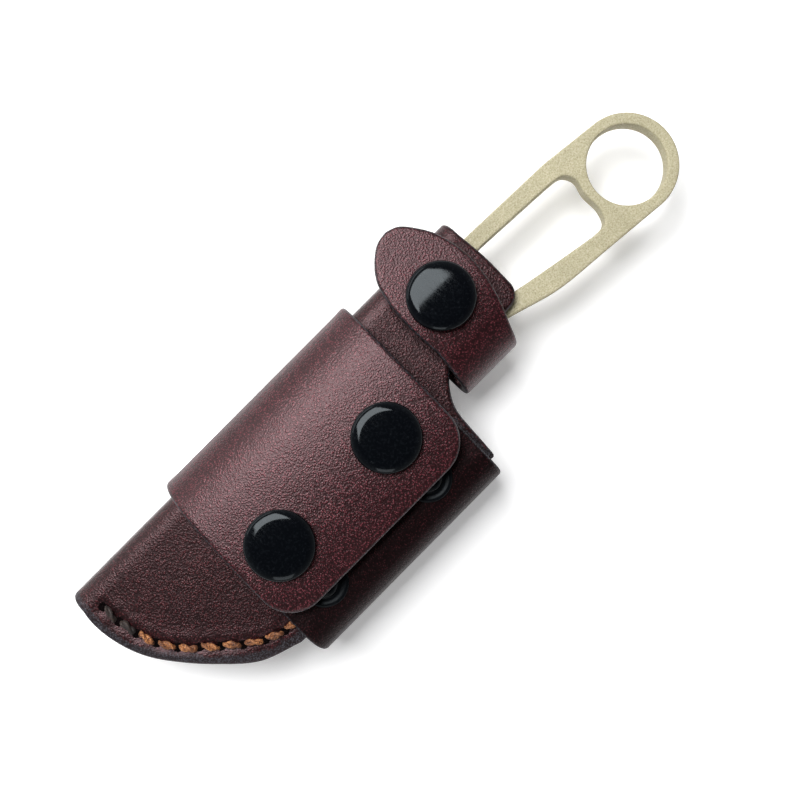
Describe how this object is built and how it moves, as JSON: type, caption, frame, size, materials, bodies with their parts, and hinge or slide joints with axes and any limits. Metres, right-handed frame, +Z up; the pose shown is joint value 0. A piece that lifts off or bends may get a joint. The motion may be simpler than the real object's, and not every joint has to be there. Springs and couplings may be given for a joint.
{
  "type": "sheathed skeleton-handle ring knife with cap-lifter lip",
  "caption": "Skeleton-handle ring knife with a cap-lifting lip, in a burgundy folded leather sheath with a snap strap and a two-snap belt wrap.",
  "frame": {"origin": "middle of the footprint, on the surface that the sheath lies on", "axes": "+X along the knife to the finger ring, +Y to the spine fold, +Z up from the snapped face"},
  "size_m": [0.1647, 0.0539, 0.0252],
  "materials": {
    "coated_steel": "textured powder coat",
    "burgundy_leather": "satin",
    "edge_leather": "burnished",
    "waxed_thread": "waxed",
    "black_cap": "gloss",
    "black_metal": "satin"
  },
  "bodies": {
    "sheath": {"pouch_shell": "burgundy_leather", "pouch_welt": "edge_leather", "pouch_stitching": "waxed_thread", "strap_fold": "burgundy_leather", "wrap_strap": "burgundy_leather", "wrap_fold": "burgundy_leather", "wrap_rivet_caps": "black_metal", "wrap_rivet_posts": "black_metal", "strap_snap_stud": "black_metal", "strap_snap_post": "black_metal", "wrap_snap_stud_a": "black_metal", "wrap_snap_stud_b": "black_metal", "wrap_snap_post_a": "black_metal", "wrap_snap_post_b": "black_metal", "spare_stud_a": "black_metal", "spare_stud_b": "black_metal", "spare_post_a": "black_metal", "spare_post_b": "black_metal"},
    "knife": {"knife": "coated_steel"},
    "strap": {"strap_flap": "burgundy_leather", "strap_snap_cap": "black_cap", "strap_snap_socket": "black_metal"},
    "wrap": {"wrap_flap": "burgundy_leather", "wrap_snap_cap_a": "black_cap", "wrap_snap_cap_b": "black_cap", "wrap_snap_socket_a": "black_metal", "wrap_snap_socket_b": "black_metal"}
  },
  "joints": [
    {"name": "knife_slide", "type": "slide", "parent": "sheath", "child": "knife", "axis": [1, 0, 0], "range_m": [0, 0.112]},
    {"name": "strap_hinge", "type": "hinge", "parent": "sheath", "child": "strap", "pos_m": [0.01797, -0.00459, 0.0152], "axis": [1, 0, 0], "range_deg": [0, 80], "deforming": ["strap_fold"]},
    {"name": "wrap_hinge", "type": "hinge", "parent": "sheath", "child": "wrap", "pos_m": [-0.02358, 0.01211, 0.0114], "axis": [-1, 0, 0], "range_deg": [0, 80], "deforming": ["wrap_fold"]}
  ]
}
